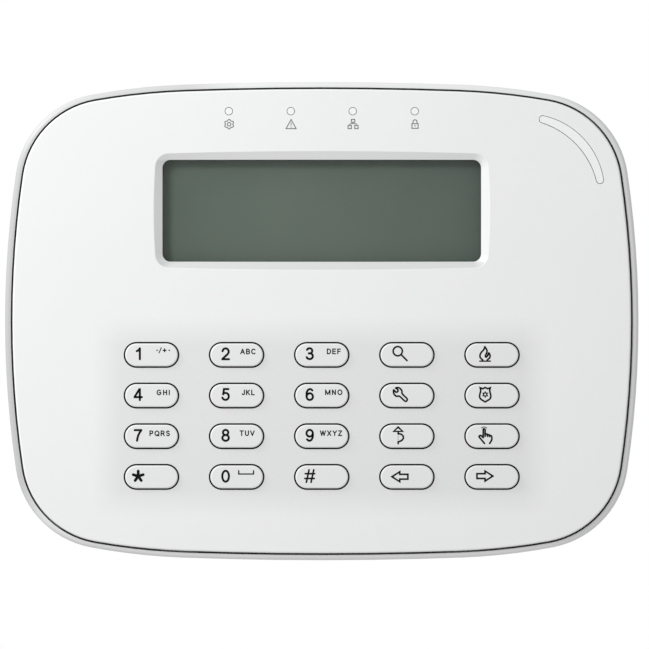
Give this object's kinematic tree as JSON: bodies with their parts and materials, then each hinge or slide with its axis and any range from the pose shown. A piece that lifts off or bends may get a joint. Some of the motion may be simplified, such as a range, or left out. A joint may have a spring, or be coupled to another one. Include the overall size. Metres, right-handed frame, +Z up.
{
  "type": "alarm keypad panel",
  "caption": "White wall keypad for an alarm system: shallow rear housing, hinged front cover with sprung stadium keys, recessed display window, indicator lamps and a crescent corner light.",
  "frame": {"origin": "centre of the back face, on the wall plane", "axes": "+Z up, +X to the viewer's right, the front looks along -Y and the wall is the plane Y = 0"},
  "size_m": [0.155, 0.0225, 0.117],
  "materials": {
    "housing_plastic": "fine moulded texture, white",
    "cover_plastic": "fine moulded texture, white",
    "key_plastic": "satin white with printed black legends",
    "clear_window": "clear polished acrylic",
    "lcd_panel": "grey-green reflective LCD",
    "diffuser": "milky light guide",
    "steel_sheet": "folded black-oxide steel",
    "black_foam": "black foam",
    "led_package": "white chip LED",
    "silicone_mat": "translucent grey silicone",
    "carbon_pill": "carbon-loaded silicone",
    "light_pipe": "milky polycarbonate",
    "circuit_board": "green solder mask",
    "zinc_steel": "zinc-plated",
    "black_plastic": "black plastic",
    "chip_epoxy": "black epoxy",
    "bright_can": "bright can",
    "terminal_plastic": "green plastic",
    "plunger_plastic": "white plastic",
    "spring_steel": "spring steel"
  },
  "bodies": {
    "rear_case": {"rear_housing": "housing_plastic"},
    "front_unit": {"board_screws": "zinc_steel", "bus_transceiver": "chip_epoxy", "capacitors": "bright_can", "chip_resistors": "chip_epoxy", "contact_pills": "carbon_pill", "crystal": "bright_can", "display_window": "clear_window", "front_cover": "cover_plastic", "indicator_leds": "led_package", "indicator_light_pipe": "light_pipe", "key_backlight_leds": "led_package", "keymat": "silicone_mat", "lcd_backlight_leds": "led_package", "lcd_bezel": "steel_sheet", "lcd_dust_gasket": "black_foam", "lcd_glass": "lcd_panel", "lcd_light_guide": "diffuser", "lcd_zebra_strips": "black_foam", "main_circuit_board": "circuit_board", "microcontroller": "chip_epoxy", "piezo_sounder": "black_plastic", "status_leds": "led_package", "status_light_guide": "light_pipe", "tamper_spring": "spring_steel", "tamper_switch": "black_plastic", "terminal_block": "terminal_plastic", "terminal_clamps": "bright_can", "terminal_screws": "zinc_steel", "voltage_regulator": "chip_epoxy"},
    "tamper_plunger": {"tamper_plunger": "plunger_plastic"},
    "key_1": {"key_1": "key_plastic"},
    "key_2": {"key_2": "key_plastic"},
    "key_3": {"key_3": "key_plastic"},
    "key_search": {"key_search": "key_plastic"},
    "key_fire": {"key_fire": "key_plastic"},
    "key_4": {"key_4": "key_plastic"},
    "key_5": {"key_5": "key_plastic"},
    "key_6": {"key_6": "key_plastic"},
    "key_tools": {"key_tools": "key_plastic"},
    "key_shield": {"key_shield": "key_plastic"},
    "key_7": {"key_7": "key_plastic"},
    "key_8": {"key_8": "key_plastic"},
    "key_9": {"key_9": "key_plastic"},
    "key_bypass": {"key_bypass": "key_plastic"},
    "key_touch": {"key_touch": "key_plastic"},
    "key_star": {"key_star": "key_plastic"},
    "key_0": {"key_0": "key_plastic"},
    "key_hash": {"key_hash": "key_plastic"},
    "key_left": {"key_left": "key_plastic"},
    "key_right": {"key_right": "key_plastic"}
  },
  "joints": [
    {"name": "case_hinge", "type": "hinge", "parent": "rear_case", "child": "front_unit", "pos_m": [0, -0.021, 0.057], "axis": [-1, 0, 0], "range_deg": [0, 60]},
    {"name": "tamper_travel", "type": "slide", "parent": "front_unit", "child": "tamper_plunger", "axis": [0, 1, 0], "range_m": [0, 0.0018], "deforming": ["tamper_spring"]},
    {"name": "key_1_press", "type": "slide", "parent": "front_unit", "child": "key_1", "axis": [0, 1, 0], "range_m": [0, 0.001], "stiffness_N_per_m": 600, "springref_m": -0.0004, "deforming": ["keymat"]},
    {"name": "key_2_press", "type": "slide", "parent": "front_unit", "child": "key_2", "axis": [0, 1, 0], "range_m": [0, 0.001], "stiffness_N_per_m": 600, "springref_m": -0.0004, "deforming": ["keymat"]},
    {"name": "key_3_press", "type": "slide", "parent": "front_unit", "child": "key_3", "axis": [0, 1, 0], "range_m": [0, 0.001], "stiffness_N_per_m": 600, "springref_m": -0.0004, "deforming": ["keymat"]},
    {"name": "key_search_press", "type": "slide", "parent": "front_unit", "child": "key_search", "axis": [0, 1, 0], "range_m": [0, 0.001], "stiffness_N_per_m": 600, "springref_m": -0.0004, "deforming": ["keymat"]},
    {"name": "key_fire_press", "type": "slide", "parent": "front_unit", "child": "key_fire", "axis": [0, 1, 0], "range_m": [0, 0.001], "stiffness_N_per_m": 600, "springref_m": -0.0004, "deforming": ["keymat"]},
    {"name": "key_4_press", "type": "slide", "parent": "front_unit", "child": "key_4", "axis": [0, 1, 0], "range_m": [0, 0.001], "stiffness_N_per_m": 600, "springref_m": -0.0004, "deforming": ["keymat"]},
    {"name": "key_5_press", "type": "slide", "parent": "front_unit", "child": "key_5", "axis": [0, 1, 0], "range_m": [0, 0.001], "stiffness_N_per_m": 600, "springref_m": -0.0004, "deforming": ["keymat"]},
    {"name": "key_6_press", "type": "slide", "parent": "front_unit", "child": "key_6", "axis": [0, 1, 0], "range_m": [0, 0.001], "stiffness_N_per_m": 600, "springref_m": -0.0004, "deforming": ["keymat"]},
    {"name": "key_tools_press", "type": "slide", "parent": "front_unit", "child": "key_tools", "axis": [0, 1, 0], "range_m": [0, 0.001], "stiffness_N_per_m": 600, "springref_m": -0.0004, "deforming": ["keymat"]},
    {"name": "key_shield_press", "type": "slide", "parent": "front_unit", "child": "key_shield", "axis": [0, 1, 0], "range_m": [0, 0.001], "stiffness_N_per_m": 600, "springref_m": -0.0004, "deforming": ["keymat"]},
    {"name": "key_7_press", "type": "slide", "parent": "front_unit", "child": "key_7", "axis": [0, 1, 0], "range_m": [0, 0.001], "stiffness_N_per_m": 600, "springref_m": -0.0004, "deforming": ["keymat"]},
    {"name": "key_8_press", "type": "slide", "parent": "front_unit", "child": "key_8", "axis": [0, 1, 0], "range_m": [0, 0.001], "stiffness_N_per_m": 600, "springref_m": -0.0004, "deforming": ["keymat"]},
    {"name": "key_9_press", "type": "slide", "parent": "front_unit", "child": "key_9", "axis": [0, 1, 0], "range_m": [0, 0.001], "stiffness_N_per_m": 600, "springref_m": -0.0004, "deforming": ["keymat"]},
    {"name": "key_bypass_press", "type": "slide", "parent": "front_unit", "child": "key_bypass", "axis": [0, 1, 0], "range_m": [0, 0.001], "stiffness_N_per_m": 600, "springref_m": -0.0004, "deforming": ["keymat"]},
    {"name": "key_touch_press", "type": "slide", "parent": "front_unit", "child": "key_touch", "axis": [0, 1, 0], "range_m": [0, 0.001], "stiffness_N_per_m": 600, "springref_m": -0.0004, "deforming": ["keymat"]},
    {"name": "key_star_press", "type": "slide", "parent": "front_unit", "child": "key_star", "axis": [0, 1, 0], "range_m": [0, 0.001], "stiffness_N_per_m": 600, "springref_m": -0.0004, "deforming": ["keymat"]},
    {"name": "key_0_press", "type": "slide", "parent": "front_unit", "child": "key_0", "axis": [0, 1, 0], "range_m": [0, 0.001], "stiffness_N_per_m": 600, "springref_m": -0.0004, "deforming": ["keymat"]},
    {"name": "key_hash_press", "type": "slide", "parent": "front_unit", "child": "key_hash", "axis": [0, 1, 0], "range_m": [0, 0.001], "stiffness_N_per_m": 600, "springref_m": -0.0004, "deforming": ["keymat"]},
    {"name": "key_left_press", "type": "slide", "parent": "front_unit", "child": "key_left", "axis": [0, 1, 0], "range_m": [0, 0.001], "stiffness_N_per_m": 600, "springref_m": -0.0004, "deforming": ["keymat"]},
    {"name": "key_right_press", "type": "slide", "parent": "front_unit", "child": "key_right", "axis": [0, 1, 0], "range_m": [0, 0.001], "stiffness_N_per_m": 600, "springref_m": -0.0004, "deforming": ["keymat"]}
  ],
  "couplings": [
    {"joint": "tamper_travel", "follows": "case_hinge", "m_per_rad": 0.0017171}
  ]
}
